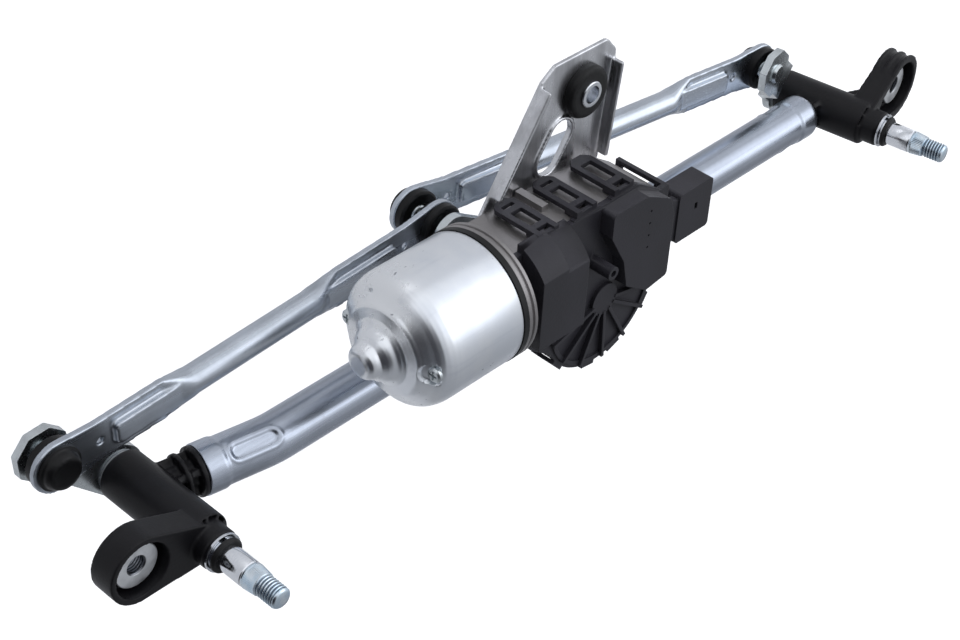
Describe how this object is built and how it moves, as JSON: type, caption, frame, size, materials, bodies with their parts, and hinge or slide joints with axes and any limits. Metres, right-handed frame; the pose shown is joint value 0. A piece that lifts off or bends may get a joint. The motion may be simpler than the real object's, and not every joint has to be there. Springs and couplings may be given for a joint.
{
  "type": "wiper linkage",
  "caption": "Windscreen wiper linkage: tube frame with motor and gearbox, crank and ball-jointed rods turning a wiper spindle at each end.",
  "frame": {"origin": "centre of the bolt bore of the rubber-mounted bracket, at the rear end of its steel sleeve", "axes": "+X along the main tube from the end beside the motor nose towards the other spindle, +Y across the tube towards the bracket bore, +Z along the bore and the wiper spindles towards their threaded ends"},
  "size_m": [0.5515, 0.1478, 0.1133],
  "materials": {
    "galvanised_tube": "satin",
    "bracket_steel": "satin",
    "zinc_plate": "satin",
    "bright_steel": "polished",
    "can_steel": "satin",
    "cast_aluminium": "cast",
    "black_nylon": "matt",
    "socket_plastic": "satin",
    "black_rubber": "matt",
    "sintered_bronze": "satin",
    "grey_bearing": "satin",
    "gear_plastic": "satin",
    "ferrite": "matt",
    "core_steel": "matt",
    "copper": "satin",
    "carbon": "matt",
    "board": "satin"
  },
  "bodies": {
    "frame": {"main_tube": "galvanised_tube", "bracket": "bracket_steel", "tube_saddle": "bracket_steel", "bracket_grommet": "black_rubber", "bracket_sleeve": "bright_steel", "left_pivot_housing": "black_nylon", "right_pivot_housing": "black_nylon", "left_bearing_sleeve": "grey_bearing", "right_bearing_sleeve": "grey_bearing", "left_ear_insert": "bright_steel", "right_ear_insert": "bright_steel", "gear_housing": "cast_aluminium", "bracket_screws": "zinc_plate", "output_bush": "sintered_bronze", "motor_can": "can_steel", "can_gasket": "black_rubber", "can_screws": "bright_steel", "magnets": "ferrite", "brush_holder": "socket_plastic", "carbon_brushes": "carbon", "nose_bush": "sintered_bronze", "worm_bearing": "bright_steel", "worm_end_bush": "sintered_bronze", "gear_cover": "black_nylon", "connector_pins": "copper", "circuit_board": "board"},
    "armature": {"armature_shaft": "bright_steel", "armature_core": "core_steel", "armature_windings": "copper", "commutator": "copper"},
    "crank": {"output_shaft": "bright_steel", "worm_wheel": "gear_plastic", "crank": "zinc_plate", "crank_nut": "zinc_plate", "crank_ball_stud": "zinc_plate", "output_washer": "zinc_plate"},
    "left_rod": {"left_rod": "galvanised_tube", "left_rod_outer_socket": "socket_plastic", "left_rod_crank_socket": "socket_plastic"},
    "right_rod": {"right_rod": "galvanised_tube", "right_rod_outer_socket": "socket_plastic", "right_rod_crank_socket": "socket_plastic"},
    "left_shaft": {"left_spindle": "bright_steel", "left_crank_arm": "zinc_plate", "left_ball_stud": "zinc_plate", "left_retaining_clip": "bright_steel", "left_dust_seal": "black_rubber", "left_rear_washer": "grey_bearing", "left_front_washer": "bright_steel"},
    "right_shaft": {"right_spindle": "bright_steel", "right_crank_arm": "zinc_plate", "right_ball_stud": "zinc_plate", "right_retaining_clip": "bright_steel", "right_dust_seal": "black_rubber", "right_rear_washer": "grey_bearing", "right_front_washer": "bright_steel"}
  },
  "joints": [
    {"name": "armature_spin", "type": "hinge", "parent": "frame", "child": "armature", "pos_m": [-0.019, -0.059, 0.0264], "axis": [1, 0, 0], "range_deg": [-3360, 0]},
    {"name": "crank_turn", "type": "hinge", "parent": "frame", "child": "crank", "pos_m": [-0.019, -0.086, -0.0056], "axis": [0, 0, 1], "range_deg": [-70.1, 0.1]},
    {"name": "left_rod_swing", "type": "hinge", "parent": "crank", "child": "left_rod", "pos_m": [-0.056, -0.0615, -0.0236], "axis": [0, 0, 1], "range_deg": [-0.1, 71.5]},
    {"name": "right_rod_swing", "type": "hinge", "parent": "crank", "child": "right_rod", "pos_m": [-0.056, -0.0615, -0.0371], "axis": [-0.0162, 0.0186, 0.9997], "range_deg": [-0.1, 68.6]},
    {"name": "left_spindle_turn", "type": "hinge", "parent": "frame", "child": "left_shaft", "pos_m": [-0.23, -0.106, -0.0056], "axis": [0, 0, 1], "range_deg": [-64.3, 0.1]},
    {"name": "right_spindle_turn", "type": "hinge", "parent": "frame", "child": "right_shaft", "pos_m": [0.2178, -0.108, -0.0056], "axis": [0.1392, 0, 0.9903], "range_deg": [-65, 0.1]}
  ],
  "couplings": [
    {"joint": "crank_turn", "follows": "armature_spin", "ratio": 0.020833},
    {"joint": "left_rod_swing", "follows": "armature_spin", "ratio": -0.021235},
    {"joint": "right_rod_swing", "follows": "armature_spin", "ratio": -0.020375},
    {"joint": "left_spindle_turn", "follows": "armature_spin", "ratio": 0.019098},
    {"joint": "right_spindle_turn", "follows": "armature_spin", "ratio": 0.019316}
  ]
}
